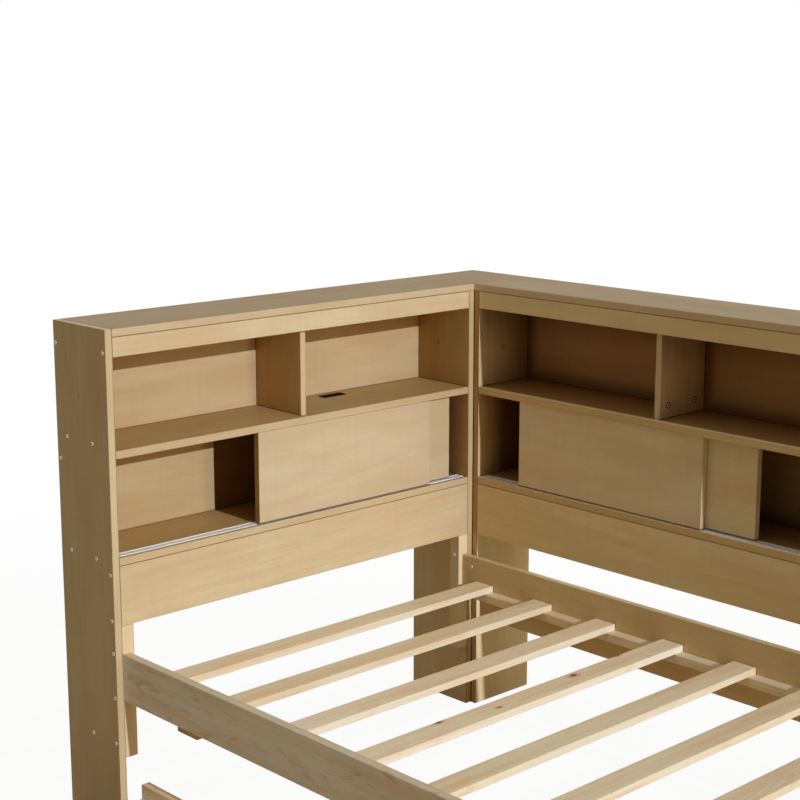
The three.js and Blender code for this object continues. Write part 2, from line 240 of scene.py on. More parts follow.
def edgeLines(tree, place, colour, board, joints=(), seams=()):
    # Handled edges are a touch darker, a thin brown line runs where two boards meet, and an open seam is
    # dark. Joints and seams are named by the two faces that meet there, as in x+y-.
    away = wallDistances(tree, place, *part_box(board))
    lines = [(arris["handled"], middleOfThree(tree, away))]
    for line, edges in ((arris["joint"], joints), (arris["seam"], seams)):
        lines += [(line, tree.math("MAXIMUM", away[edge[:2]], away[edge[2:]])) for edge in edges]
    for line, distance in lines:
        amount = tree.remap(distance, line["from"], line["to"], line["share"], 0.0)
        colour = tree.mix(amount, colour, line["colour"])
    return colour


def knotField(tree, place, knots, grain, long):
    # The nearest knot's distance over its radius, long along the grain: 0 at the heart, 1 at the rim
    nearest = farAway
    for x, y, z, radius in knots:
        squeeze = tuple(1 / (radius * (long if axis == grain else 1)) for axis in "xyz")
        away = tree.vector("MULTIPLY", tree.vector("SUBTRACT", place, (x, y, z)), squeeze)
        nearest = tree.math("MINIMUM", tree.vector("LENGTH", away), nearest)
    return nearest


plainTone = (1.0, 1.0, 1.0)
woodShine = 0.04

birch = {
    "pale": linear(225, 205, 170),
    "warm": linear(216, 190, 153),
    "rose": linear(224, 193, 166),
    "honey": linear(220, 182, 136),
    "line": linear(201, 171, 131),
    "fleck": linear(180, 144, 103),
    "knot": linear(132, 74, 40),
    "contours": 11,  # lines from the noise's lowest to its highest
    "crest": (-0.2, 1.0),
    "waves": 0.17,
    "patchy": (0.15, 1.0),
    "knotLong": 1.6,
    "knotFrom": (0.15, 1.3),
    "knotShare": 0.55,
}
birchFinish = {"fibre": 0.6, "others": -0.5, "bump": 0.35, "depth": 0.0004,
               "glossFrom": (0.2, 0.8), "gloss": (0.37, 0.51)}
veneer = {
    "hills": {"often": (0.9, 6.0), "detail": 2.0, "rough": 0.45, "bend": 0.25},
    "patches": {"often": (3.1, 3.1), "detail": 2.0, "from": (0.38, 0.68)},
    "blotch": {"often": (2.6, 8.0), "detail": 3.0, "rough": 0.55,
               "colour": "warm", "from": (0.36, 0.66), "share": 0.8},
    "blush": {"often": (7.0, 24.0), "detail": 2.0, "bend": 0.6,
              "colour": "rose", "from": (0.5, 0.72), "share": 0.45},
    "honey": {"often": (1.4, 13.0), "detail": 3.0, "rough": 0.6,
              "colour": "honey", "from": (0.5, 0.74), "share": 0.5},
    "curl": {"often": (60.0, 6.0), "detail": 2.0, "bend": 0.8,
             "colour": "line", "from": (0.42, 0.7), "share": 0.08},
    "silk": {"often": (2.2, 70.0), "detail": 3.0, "rough": 0.55,
             "colour": "line", "from": (0.35, 0.75), "share": 0.20},
    "flecks": {"often": (42.0, 760.0), "detail": 1.0,
               "colour": "fleck", "from": (0.66, 0.78), "share": 0.22},
    "fibre": {"often": (9.0, 420.0), "detail": 3.0, "rough": 0.6,
              "colour": "fleck", "from": (0.30, 0.75), "share": 0.10},
}


def birchMaterial(board, shift, own):
    # Rotary cut veneer: its figure is the contour lines of a smooth noise that is long along the grain
    material, tree = newMaterial(board)
    place, along = grainSpace(tree, own["grain"], shift)
    noises = {name: grainNoise(tree, along, pattern) for name, pattern in veneer.items()}
    figure = own.get("figure", 1.0)
    shares = {name: veneer[name]["share"] * figure for name in ("silk", "fibre")}
    shares["honey"] = own.get("honey", veneer["honey"]["share"])
    contour = tree.math("SINE", tree.math("MULTIPLY", noises["hills"], 2 * math.pi * birch["contours"]))
    patchy = tree.remap(noises["patches"], *veneer["patches"]["from"], *birch["patchy"])
    waves = tree.math("MULTIPLY", tree.remap(contour, *birch["crest"]), patchy)
    colour = birch["pale"]
    for name in ("blotch", "blush", "honey", "curl"):
        colour = grainLayer(tree, colour, noises[name], veneer[name], birch, shares.get(name))
    colour = tree.mix(tree.math("MULTIPLY", waves, birch["waves"] * figure), colour, birch["line"])
    for name in ("silk", "flecks", "fibre"):
        colour = grainLayer(tree, colour, noises[name], veneer[name], birch, shares.get(name))
    if "knots" in own:
        knots = knotField(tree, place, placed(own["knots"]), own["grain"], birch["knotLong"])
        amount = tree.remap(knots, *birch["knotFrom"], birch["knotShare"], 0.0)
        colour = tree.mix(amount, colour, birch["knot"])
    colour = tree.tinted(colour, own.get("tone", plainTone))
    colour = paintLightZones(tree, place, colour, zonesOf(board, own.get("paintedLight", {})))
    colour = edgeLines(tree, place, colour, board, own.get("joints", ()), own.get("seams", ()))
    pores = tree.remap(noises["flecks"], *veneer["flecks"]["from"])
    finish = grainFinish(tree, colour, noises["fibre"], pores, birchFinish)
    if board.endswith("_door"):
        doorFoot(tree, board, place, finish)
    tree.surface(**finish, Specular_IOR_Level=woodShine)
    return material


# The grey of a door's foot strip is painted shade: the white track as it looks in the door's shade
shadedRunner = {"colour": linear(128, 120, 130), "tongue": 0.0037, "height": 0.0024, "roughness": 0.35}


def doorFoot(tree, board, place, finish):
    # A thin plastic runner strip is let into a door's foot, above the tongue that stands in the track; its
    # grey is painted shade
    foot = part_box(board)[0].z + shadedRunner["tongue"]
    height = tree.add("ShaderNodeSeparateXYZ", None, Vector=place).outputs["Z"]
    below = tree.math("LESS_THAN", height, foot + shadedRunner["height"])
    smooth = tree.remap(below, 0.0, 1.0, 1.0, shadedRunner["roughness"])
    finish["Base_Color"] = tree.mix(below, finish["Base_Color"], shadedRunner["colour"])
    finish["Roughness"] = tree.math("MINIMUM", finish["Roughness"], smooth)


pine = {
    "early": linear(254, 243, 224),
    "mid": linear(250, 232, 206),
    "late": linear(222, 186, 146),
    "rose": linear(247, 210, 176),
    "moss": linear(228, 216, 188),
    "flame": linear(208, 148, 84),
    "knotHeart": linear(132, 62, 34),
    "knotRim": linear(208, 128, 78),
    "ringsPerMetre": 150.0,
    "ringRise": 2.4,
    "ringEnd": (0.93, 1.0),
    "wander": 0.075,
    "patchy": (0.25, 1.0),
    "knotLong": 1.8,
    "knotPush": {"from": (0.6, 4.5), "by": 0.012},
    "knotHalo": {"from": (0.9, 2.4), "share": 0.45},
    "knotCore": {"from": (0.45, 1.0), "share": 0.9},
}
pineFinish = {"fibre": 0.7, "others": 0.4, "bump": 0.4, "depth": 0.0005,
              "glossFrom": (0.2, 0.8), "gloss": (0.52, 0.68)}
timber = {
    "bow": {"often": (1.7, 7.0), "detail": 2.0},
    "patches": {"often": (1.0, 6.0), "detail": 2.0, "from": (0.3, 0.7)},
    "streak": {"often": (1.1, 38.0), "detail": 3.0, "rough": 0.6,
               "colour": "mid", "from": (0.3, 0.7), "share": 1.0},
    "moss": {"often": (2.04, 37.4), "detail": 2.0, "colour": "moss", "from": (0.52, 0.70), "share": 0.22},
    "blush": {"often": (2.2, 30.0), "detail": 3.0, "colour": "rose", "from": (0.46, 0.68), "share": 0.65},
    "spots": {"often": (16.0, 34.0), "detail": 2.0, "colour": "rose", "from": (0.56, 0.72), "share": 0.50},
    "licks": {"often": (9.0, 38.0), "detail": 3.0, "rough": 0.55, "bend": 1.2,
              "colour": "flame", "from": (0.55, 0.70)},
    "fibre": {"often": (8.0, 330.0), "detail": 3.0, "rough": 0.6,
              "colour": "late", "from": (0.30, 0.8), "share": 0.20},
}


def pineMaterial(board, shift, own):
    # Solid pine: growth rings are circles about a pith line, bent by noise and pushed round the knots
    material, tree = newMaterial(board)
    place, along = grainSpace(tree, own["grain"], shift)
    noises = {name: grainNoise(tree, along, pattern) for name, pattern in timber.items()}
    bow = tree.math("MULTIPLY", tree.math("SUBTRACT", noises["bow"], 0.5), pine["wander"])
    fromPith = tree.vector("LENGTH", tree.vector("MULTIPLY", along, (0.0, 1.0, 1.0)))
    rings = tree.math("ADD", fromPith, bow)
    knots = None
    if "knots" in own:
        push = pine["knotPush"]
        knots = knotField(tree, place, placed(own["knots"]), own["grain"], pine["knotLong"])
        rings = tree.math("ADD", rings, tree.remap(knots, *push["from"], push["by"], 0.0))
    phase = tree.math("FRACT", tree.math("MULTIPLY", rings, pine["ringsPerMetre"]))
    rise = tree.math("POWER", phase, pine["ringRise"])
    lateWood = tree.math("MULTIPLY", rise, tree.remap(phase, *pine["ringEnd"], 1.0, 0.0))
    patchy = tree.remap(noises["patches"], *timber["patches"]["from"], *pine["patchy"])
    ringShare = tree.math("MULTIPLY", tree.math("MULTIPLY", lateWood, patchy), own.get("contrast", 0.5))
    colour = pine["early"]
    for name in ("streak", "moss", "blush", "spots"):
        colour = grainLayer(tree, colour, noises[name], timber[name], pine)
    if "flame" in own:
        colour = grainLayer(tree, colour, noises["licks"], timber["licks"], pine, own["flame"])
    colour = tree.mix(ringShare, colour, pine["late"])
    colour = grainLayer(tree, colour, noises["fibre"], timber["fibre"], pine)
    if knots is not None:
        for part, tint in (("knotHalo", "knotRim"), ("knotCore", "knotHeart")):
            amount = tree.remap(knots, *pine[part]["from"], pine[part]["share"], 0.0)
            colour = tree.mix(amount, colour, pine[tint])
    colour = tree.tinted(colour, own.get("tone", plainTone))
    colour = paintLightZones(tree, place, colour, zonesOf(board, own.get("paintedLight", {})))
    colour = edgeLines(tree, place, colour, board)
    finish = grainFinish(tree, colour, noises["fibre"], lateWood, pineFinish)
    tree.surface(**finish, Specular_IOR_Level=woodShine)
    return material


moulding = {"cloud": 22.0, "cloudFrom": (0.3, 0.7), "dark": 0.72, "bump": 0.25, "depth": 0.0002,
            "gloss": (-0.05, 0.07)}


def plasticMaterial(name, colour, roughness, speckle, grainSize, shine=0.5):
    # Moulded plastic: a fine texture in the relief and a slight cloudiness in the gloss
    material, tree = newMaterial(name)
    place = tree.add("ShaderNodeTexCoord").outputs["Object"]
    fine = tree.noise(place, grainSize, detail=3.0, roughness=0.6)
    cloud = tree.noise(place, moulding["cloud"], detail=3.0)
    dark = (*(c * moulding["dark"] for c in colour[:3]), 1.0)
    shade = tree.mix(tree.remap(cloud, *moulding["cloudFrom"], 0.0, speckle), colour, dark)
    relief = {"Strength": moulding["bump"], "Distance": moulding["depth"], "Height": fine}
    bump = tree.add("ShaderNodeBump", None, **relief).outputs[0]
    gloss = tree.remap(cloud, *moulding["cloudFrom"], *(roughness + change for change in moulding["gloss"]))
    tree.surface(Base_Color=shade, Roughness=gloss, Normal=bump, Specular_IOR_Level=shine)
    return material


plating = {"blotch": 140.0, "glossFrom": (0.3, 0.7), "gloss": (-0.06, 0.14), "dullFrom": (0.35, 0.75),
           "share": 0.35, "dark": 0.7}


def steelMaterial(name, colour, roughness, metallic=1.0):
    # Zinc plated steel: bright, with faint blotches where the plate is duller
    material, tree = newMaterial(name)
    place = tree.add("ShaderNodeTexCoord").outputs["Object"]
    dull = tree.noise(place, plating["blotch"], detail=4.0, roughness=0.6)
    gloss = tree.remap(dull, *plating["glossFrom"], *(roughness + change for change in plating["gloss"]))
    dark = (*(c * plating["dark"] for c in colour[:3]), 1.0)
    shade = tree.mix(tree.remap(dull, *plating["dullFrom"], 0.0, plating["share"]), colour, dark)
    tree.surface(Base_Color=shade, Roughness=gloss, Metallic=metallic)
    return material


def dress(node, material):
    # A packed board keeps its mesh and gets its own material
    nodes[node].data.materials.clear()
    nodes[node].data.materials.append(material)


# Every wooden board has its own cut of the timber. A tone multiplies its colour: partly the board's own
# colour, partly painted light and shade for how the lamps fall on it. A figure strengthens the veneer's lines
# and a contrast the pine's rings. Knots are (x, y, z, radius), metres from the inner corner.
seeds = np.random.default_rng(27)
patternReach = 40  # metres of the pattern along the grain


def cut(spread):
    # A far shift along the grain, and another piece of the pattern across it
    lengthwise = float(seeds.uniform(-patternReach, patternReach))
    return (lengthwise, *(float(v) for v in seeds.uniform(*spread, 2)))


def placed(knots):
    # From the inner corner to the model's own place
    return [tuple(innerCorner + knot[:3]) + (knot[3],) for knot in knots]


# The hollows of the bookcases, a lip's width short of their front edges: painted shade makes their faces
# darker and redder
lip, skin = 0.002, 0.001
lightDrift = 0.0045  # how far the light reaches sideways past a door's end, down at the back panel


def hollows(bookcase, row):
    # One box between each two uprights of a row
    above, below = ("fascia", "middle_shelf") if row == "upper" else ("middle_shelf", "bottom_shelf")
    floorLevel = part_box(f"{bookcase}_{below}")[1].z - skin
    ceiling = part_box(f"{bookcase}_{above}")[1 if row == "upper" else 0].z + skin
    uprights = {
        "head_upper": ["end_panel", "divider", "corner_panel"],
        "head_lower": ["end_panel", "corner_panel"],
        "side_upper": ["corner_panel", "divider", "upper_partition", "end_panel"],
        "side_lower": ["corner_panel", "lower_partition", "end_panel"],
    }[f"{bookcase}_{row}"]
    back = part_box(f"{bookcase}_back_panel")
    boxes = []
    for before, after in zip(uprights, uprights[1:]):
        start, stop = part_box(f"{bookcase}_{before}")[1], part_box(f"{bookcase}_{after}")[0]
        if bookcase == "head":
            low = (back[1].x - skin, start.y - skin, floorLevel)
            high = (float(innerCorner[0]) - lip, stop.y + skin, ceiling)
        else:
            low = (start.x - skin, float(innerCorner[1]) + lip, floorLevel)
            high = (stop.x + skin, back[0].y + skin, ceiling)
        boxes.append((low, high))
    return boxes


# How the painted shade lies in the two bookcases' hollows: the head's are open to the light, the side's are
# deep in shade. Reach and mouth are depths in metres: where the back's tint is full, and where the painted
# shade sets in.
shade = {
    "head": {"openSide": "x+", "reach": 0.12, "lowerReach": 0.12, "mouth": 0.0005, "ceiling": 1.0,
             "soft": 0.10, "softBack": 0.0},
    "side": {"openSide": "y-", "reach": 0.15, "lowerReach": 0.09, "mouth": 0.014, "ceiling": 0.55,
             "soft": 0.22, "softBack": 0.9},
}


def zonesOf(board, paintedLight):
    # "upper" and "lower" paint light and shade into a row's hollows, with one tint or a pair for mouth and
    # back. The door zone is the painted shadow of the head's front door, on the part of the lower hollow that
    # the door covers, the "leg" zone is painted light and shade on the part under the lower panel, and a face
    # such as "z+" gets painted light and shade on that face's skin.
    zones = []
    low, high = (Vector(corner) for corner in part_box(board))
    bookcase = board.split("_")[0]
    for name, tint in paintedLight.items():
        if name in ("upper", "lower"):
            hollow = dict(shade[bookcase])
            if board.endswith("back_panel"):
                hollow["soft"] = hollow["softBack"]
            if name == "lower":
                hollow["reach"], hollow["ceiling"] = hollow["lowerReach"], 1.0
            pair = tint if isinstance(tint[0], tuple) else (tint, tint)
            zones += [(*ends, pair, hollow) for ends in hollows(bookcase, name)]
            continue
        zoneLow, zoneHigh = low - Vector((skin, skin, skin)), high + Vector((skin, skin, skin))
        # The door's painted shadow starts where the light passes the door's end
        if name == "behindDoor":
            zoneLow, zoneHigh = (Vector(corner) for corner in hollows(bookcase, "lower")[0])
            zoneLow.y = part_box("head_front_door")[0].y + lightDrift
        elif name == "leg":
            zoneHigh.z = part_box(f"{bookcase}_lower_panel")[0].z
        else:
            axis = "xyz".index(name[0])
            if name[1] == "+":
                zoneLow[axis] = high[axis] - skin / 2
            else:
                zoneHigh[axis] = low[axis] + skin / 2
        zones.append((tuple(zoneLow), tuple(zoneHigh), tint, None))
    return zones


# Each board's tints are painted light and shade: tops and faces turned from the lamps darker, sunward faces
# and hollow mouths lighter, hollows darker towards their backs
birchBoards = {
    "head_end_panel": {
        "grain": "z", "tone": (1.07, 1.10, 1.13), "figure": 1.4, "honey": 0.15, "joints": ["x+y+", "z+y+"],
        "paintedLight": {"y-": (0.82, 0.79, 0.73), "x+": (0.93, 0.93, 0.92),
                  "upper": (0.8, 0.7, 0.56), "lower": (0.8, 0.7, 0.56)},
        "knots": [(-0.1069, -1.067, 0.9308, 0.0036)]},
    "head_corner_panel": {
        "grain": "z", "tone": (1.08, 1.10, 1.14), "joints": ["x+y-", "x+y+"],
        "paintedLight": {"x+": (0.92, 0.91, 0.82), "leg": (0.93, 0.93, 0.91),
                  "upper": ((0.80, 0.77, 0.66), (0.67, 0.52, 0.31)),
                  "lower": ((0.93, 0.70, 0.42), (0.93, 0.78, 0.70))},
        "knots": [(-0.1069, -0.017, 0.9287, 0.0046)]},
    "head_top_board": {
        "grain": "y", "joints": ["x+z-", "x+y-", "y-z+"],
        "paintedLight": {"z+": (0.67, 0.60, 0.50)}},
    "head_fascia": {"grain": "y", "tone": (1.09, 1.10, 1.12), "joints": ["x+z+", "x+y-", "x+y+"]},
    "head_back_panel": {
        "grain": "y",
        "paintedLight": {"upper": (0.91, 0.86, 0.79), "lower": (0.86, 0.80, 0.70),
                  "behindDoor": (0.43, 0.30, 0.22)}},
    "head_lower_panel": {
        "grain": "y", "tone": (1.05, 1.05, 1.04), "figure": 1.3, "joints": ["x+z+", "x+y-", "x+y+"]},
    "head_middle_shelf": {
        "grain": "y", "tone": (0.93, 0.91, 0.88), "joints": ["x+y-", "x+y+"],
        "paintedLight": {"upper": (0.82, 0.73, 0.51), "lower": (0.83, 0.72, 0.56)}},
    "head_bottom_shelf": {
        "grain": "y", "tone": (0.98, 0.97, 0.94), "joints": ["x+z-", "x+y-", "x+y+"],
        "paintedLight": {"lower": (0.85, 0.73, 0.48), "behindDoor": (0.66, 0.54, 0.44)}},
    "head_front_door": {
        "grain": "y", "tone": (1.01, 1.03, 1.09), "figure": 0.8, "honey": 0.0,
        "paintedLight": {"y-": (0.60, 0.45, 0.30)}},
    "head_rear_door": {"grain": "y", "tone": (0.96, 0.95, 0.94), "figure": 0.8},
    "head_divider": {"grain": "z", "paintedLight": {"upper": ((0.87, 0.81, 0.65), (0.79, 0.65, 0.43))}},
    "head_corner_leg_cleat": {
        "grain": "z",
        "paintedLight": {"x+": (1.32, 1.46, 1.52), "y-": (1.15, 1.22, 1.30)}},
    "head_front_leg_cleat": {"grain": "z", "paintedLight": {"x+": (1.25, 1.30, 1.34)}},
    "side_corner_panel": {
        "grain": "z", "tone": (1.08, 1.06, 1.04), "joints": ["y-x+"], "seams": ["y-x-"],
        "paintedLight": {"y-": (0.65, 0.51, 0.33), "upper": ((1.26, 1.25, 1.18), (0.58, 0.47, 0.34)),
                  "lower": ((1.22, 1.00, 0.74), (0.28, 0.17, 0.08)), "leg": (1.28, 1.46, 1.58)},
        "knots": [(0.017, 0.0887, 0.9165, 0.0052)]},
    "side_end_panel": {
        "grain": "z",
        "paintedLight": {"upper": ((1.0, 0.9, 0.8), (0.65, 0.55, 0.42)),
                  "lower": ((0.9, 0.8, 0.7), (0.45, 0.35, 0.25))}},
    "side_top_board": {
        "grain": "x", "joints": ["y-z-", "y-x-", "x-z+"],
        "paintedLight": {"z+": (0.70, 0.65, 0.56)}},
    "side_fascia": {"grain": "x", "tone": (1.12, 1.15, 1.07), "joints": ["y-z+", "y-x-"]},
    "side_back_panel": {"grain": "x", "paintedLight": {"upper": (0.71, 0.52, 0.37), "lower": (0.58, 0.45, 0.32)}},
    "side_lower_panel": {"grain": "x", "tone": (1.13, 1.15, 1.05), "figure": 1.3, "joints": ["y-z+", "y-x-"]},
    "side_middle_shelf": {
        "grain": "x", "tone": (0.94, 0.89, 0.72), "joints": ["y-x-"],
        "paintedLight": {"upper": ((0.65, 0.50, 0.40), (0.45, 0.33, 0.21)), "lower": (0.60, 0.46, 0.36)}},
    "side_bottom_shelf": {
        "grain": "x", "tone": (0.94, 0.87, 0.70), "joints": ["y-z-", "y-x-"],
        "paintedLight": {"lower": ((0.62, 0.46, 0.35), (0.42, 0.28, 0.18))}},
    "side_front_door": {"grain": "x", "tone": (1.07, 1.12, 1.17), "figure": 0.8},
    "side_rear_door": {"grain": "x", "tone": (1.07, 1.12, 1.12), "figure": 0.8},
    "side_divider": {
        "grain": "z", "figure": 1.6,
        "paintedLight": {"upper": ((1.30, 1.24, 1.20), (1.02, 0.89, 0.73))}},
    "side_upper_partition": {"grain": "z", "paintedLight": {"upper": ((1.30, 1.20, 1.08), (1.02, 0.84, 0.62))}},
    "side_lower_partition": {"grain": "z", "paintedLight": {"lower": ((0.9, 0.8, 0.7), (0.45, 0.35, 0.25))}},
    "back_rail": {"grain": "x", "tone": (1.00, 0.96, 0.83), "figure": 0.8},
    "rail_block": {"grain": "x", "tone": (0.86, 0.74, 0.56)},
}
veneerSpread = (-9, 9)  # metres of the pattern across the grain
for board, own in birchBoards.items():
    dress(board, birchMaterial(board, cut(veneerSpread), own))
print("birch boards dressed")

# Painted light: the slats' tops a touch darker and their sides towards the sun lighter, and the front rail's
# top darker
slatPaintedLight = {"z+": (1.0, 0.98, 0.93), "x+": (1.0, 1.03, 1.05)}
slatTones = {2: (0.96, 0.95, 0.93), 3: (1.03, 1.03, 1.06), 4: (1.06, 1.08, 1.14)}
pineBoards = {
    "front_rail": {"grain": "x", "tone": (0.89, 0.95, 1.03), "contrast": 0.16, "flame": 0.5,
                   "paintedLight": {"z+": (0.93, 0.88, 0.83)}},
    "front_ledger": {"grain": "x", "tone": (0.95, 0.93, 0.88)},
    "back_ledger": {"grain": "x", "tone": (0.94, 0.96, 0.92)},
    "foot_front_post": {"grain": "z"},
    "foot_back_post": {"grain": "z"},
    "foot_rail": {"grain": "y", "flame": 0.3},
    "trundle_front_board": {"grain": "x", "contrast": 0.8, "flame": 0.3},
    "trundle_back_board": {"grain": "x", "contrast": 1.0, "flame": 0.3},
    "trundle_head_board": {"grain": "y", "contrast": 0.8},
    "trundle_foot_board": {"grain": "y", "contrast": 0.8},
    "trundle_slat_deck": {"grain": "y"},
}
for number in range(1, 11):
    pineBoards[f"slat_{number}"] = {"grain": "y", "contrast": 0.34, "paintedLight": slatPaintedLight,
                                    "tone": slatTones.get(number, plainTone)}
pineBoards["slat_4"]["knots"] = [(0.651, -0.356, 0.343, 0.0066), (0.640, -0.745, 0.343, 0.0058),
                                 (0.668, -0.601, 0.343, 0.0038), (0.636, -0.194, 0.343, 0.0053)]
pithSpread = (0.02, 0.07)  # metres from the middle of a board's section to the pith


def pithBeside(board, grain):
    # The pith line runs along the grain, a little off the middle of the board's section
    middle = sum(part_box(board), Vector()) / 2
    centre = {"x": (middle.y, middle.z), "y": (-middle.x, middle.z), "z": (middle.y, -middle.x)}[grain]
    return tuple(shift - own for shift, own in zip(cut(pithSpread), (0, *centre)))


for board, own in pineBoards.items():
    dress(board, pineMaterial(board, pithBeside(board, own["grain"]), own))
print("pine boards dressed")

trackWhite = plasticMaterial("track_plastic", linear(247, 245, 246), roughness=0.38, speckle=0.06,
                             grainSize=900.0)
outletBlack = plasticMaterial("outlet_plastic", linear(10, 9, 10), roughness=0.6, speckle=0.3,
                              grainSize=1600.0, shine=0.04)
wheelBlack = plasticMaterial("wheel_plastic", linear(40, 40, 43), roughness=0.45, speckle=0.35,
                             grainSize=1200.0)
# The dark brown of the screw sockets' floors and the cam locks' groove and recess is painted shade
socketShade = plasticMaterial("socket_shade", linear(58, 42, 32), roughness=0.7, speckle=0.3,
                             grainSize=900.0, shine=0.1)
capSilver = steelMaterial("cap_silver", linear(206, 176, 160), roughness=0.42)
zincSteel = steelMaterial("zinc_steel", linear(196, 198, 200), roughness=0.28)
lockSilver = steelMaterial("lock_silver", linear(244, 226, 204), roughness=0.45, metallic=0.1)
for name in ("head_door_track", "side_door_track"):
    dress(name, trackWhite)
print("plastics and metals made")


def loft(rings, hoop=False):
    # Rings of points joined row to row; the two ends get a flat face each, or meet in a hoop
    count, around = rings.shape[:2]
    row = np.arange(count if hoop else count - 1)[:, None] * around
    nextRow = (row + around) % (count * around)
    column = np.arange(around)[None, :]
    nextColumn = (column + 1) % around
    corners = (row + column, row + nextColumn, nextRow + nextColumn, nextRow + column)
    faces = np.stack(np.broadcast_arrays(*corners), -1).reshape(-1, 4).tolist()
    if not hoop:
        faces += [list(range(around)), list(range((count - 1) * around, count * around))]
    return rings.reshape(-1, 3), faces


def joined(parts):
    # Several meshes as one: each part's faces count on from the points before it
    points, faces, start = [], [], 0
    for partPoints, partFaces in parts:
        points.append(partPoints)
        faces += [[index + start for index in face] for face in partFaces]
        start += len(partPoints)
    return np.concatenate(points), faces


def turned(profile, axis, around, centre=(0, 0, 0)):
    # A profile of (radius, distance along the axis) turned about it: radius cos t, radius sin t, distance
    radius, distance = np.array(profile, float).T[:, :, None]
    angle = np.linspace(0, 2 * math.pi, around, endpoint=False)[None, :]
    across, up = radius * np.cos(angle), radius * np.sin(angle)
    along = distance + 0 * angle
    order = {"x": (along, across, up), "y": (across, along, up), "z": (across, up, along)}[axis]
    return np.stack(order, -1) + np.array(centre, float)


creaseAngle = 32  # degrees, past which an edge of a fitting is sharp


def meshFrom(name, points, faces, material, smooth=True):
    # A smooth piece has its faces turned outwards and its sharp edges marked
    mesh = bpy.data.meshes.new(name)
    mesh.from_pydata(points.tolist(), [], faces)
    mesh.validate()
    mesh.materials.append(material)
    if smooth:
        shell = bmesh.new()
        shell.from_mesh(mesh)
        bmesh.ops.recalc_face_normals(shell, faces=shell.faces)
        shell.to_mesh(mesh)
        shell.free()
        mesh.polygons.foreach_set("use_smooth", [True] * len(mesh.polygons))
        mesh.set_sharp_from_angle(angle=math.radians(creaseAngle))
    mesh.update()
    piece = bpy.data.objects.new(name, mesh)
    bpy.context.scene.collection.objects.link(piece)
    return piece


# Screw heads with a round socket, in metres: on the outer end panel placed by (x, z) from the inner corner,
# and one each on the back rail and the corner leg's cleat
screw = {"radius": 0.0044, "height": 0.0015, "shoulder": 0.35, "shoulderSteps": 6, "socket": 0.0020,
         "socketTaper": 0.94, "socketFloor": 0.0002, "around": 32}
panelScrews = [(-0.1873, 1.0348), (-0.0096, 1.0341), (-0.1552, 0.8378), (-0.0597, 0.8374), (-0.1850, 0.7861),
               (-0.1561, 0.5887), (-0.0595, 0.5892), (-0.0088, 0.5637), (-0.0081, 0.4642), (-0.0080, 0.3921),
               (-0.0079, 0.2932), (-0.0959, 0.1900), (-0.0094, 0.1911)]
railScrews = {"back_rail": (0.0332, 0.376), "head_corner_leg_cleat": (-0.0140, 0.400)}


def screwHead(board, x, z):
    # Profile: up the side, over a quarter round shoulder to a flat ring, and down into the socket
    radius, height, socket, shoulder = screw["radius"], screw["height"], screw["socket"], screw["shoulder"]
    bend = np.linspace(0, math.pi / 2, screw["shoulderSteps"])
    inward = radius * (1 - shoulder * (1 - np.cos(bend)))
    upward = height * (shoulder + (1 - shoulder) * np.sin(bend))
    profile = [(radius, 0.0), *np.stack([inward, upward], -1).tolist(), (socket, height),
               (socket * screw["socketTaper"], screw["socketFloor"])]
    centre = (innerCorner[0] + x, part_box(board)[0].y, z)
    return loft(turned([(r, -d) for r, d in profile], "y", screw["around"], centre))


def shadeSockets(piece, facesEach):
    # The last face of each head is its socket's floor, dark with painted shade
    index = np.zeros(len(piece.data.polygons), np.int32)
    index[facesEach - 1::facesEach] = 1
    piece.data.materials.append(socketShade)
    piece.data.polygons.foreach_set("material_index", index)


def makeScrews():
    panelHeads = [screwHead("head_end_panel", x, z) for x, z in panelScrews]
    railHeads = [screwHead(board, x, z) for board, (x, z) in railScrews.items()]
    for name, heads in (("end_panel_screws", panelHeads), ("rail_screws", railHeads)):
        piece = meshFrom(name, *joined(heads), capSilver)
        shadeSockets(piece, len(heads[0][1]))
        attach(piece, "daybed")


# Two cam locks in the side divider's face, (y, z) in metres from the inner corner. Their profile is a low
# outer ring, a groove, the disc, and a round recess for the driver: (share of the radius, height in metres)
camLock = {"radius": 0.0078, "around": 40, "places": [(0.0471, 0.8571), (0.1422, 0.8574)],
           "profile": [(1.0, 0.0), (1.0, 0.0005), (0.94, 0.0007), (0.86, 0.0007), (0.84, 0.0001),
                       (0.72, 0.0001), (0.70, 0.0006), (0.34, 0.0008), (0.30, 0.0008), (0.27, 0.0001)],
           "discStrips": (5, 7)}


def makeCamLocks():
    radius, around = camLock["radius"], camLock["around"]
    profile = [(share * radius, height) for share, height in camLock["profile"]]
    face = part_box("side_divider")[1].x
    places = [(face, innerCorner[1] + y, z) for y, z in camLock["places"]]
    locks = [loft(turned(profile, "x", around, place)) for place in places]
    piece = meshFrom("divider_cam_locks", *joined(locks), lockSilver)
    # The strips outside the disc's own rim and inside its recess, and the two end faces, are dark: painted
    # shade in the groove and the driver's recess, carried onto the outer ring too
    first, last = camLock["discStrips"]
    strip = np.repeat(np.arange(len(profile) - 1), around)
    dark = np.concatenate([(strip < first) | (strip > last), [True, True]]).astype(np.int32)
    piece.data.materials.append(socketShade)
    piece.data.polygons.foreach_set("material_index", np.tile(dark, len(locks)))
    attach(piece, "daybed")


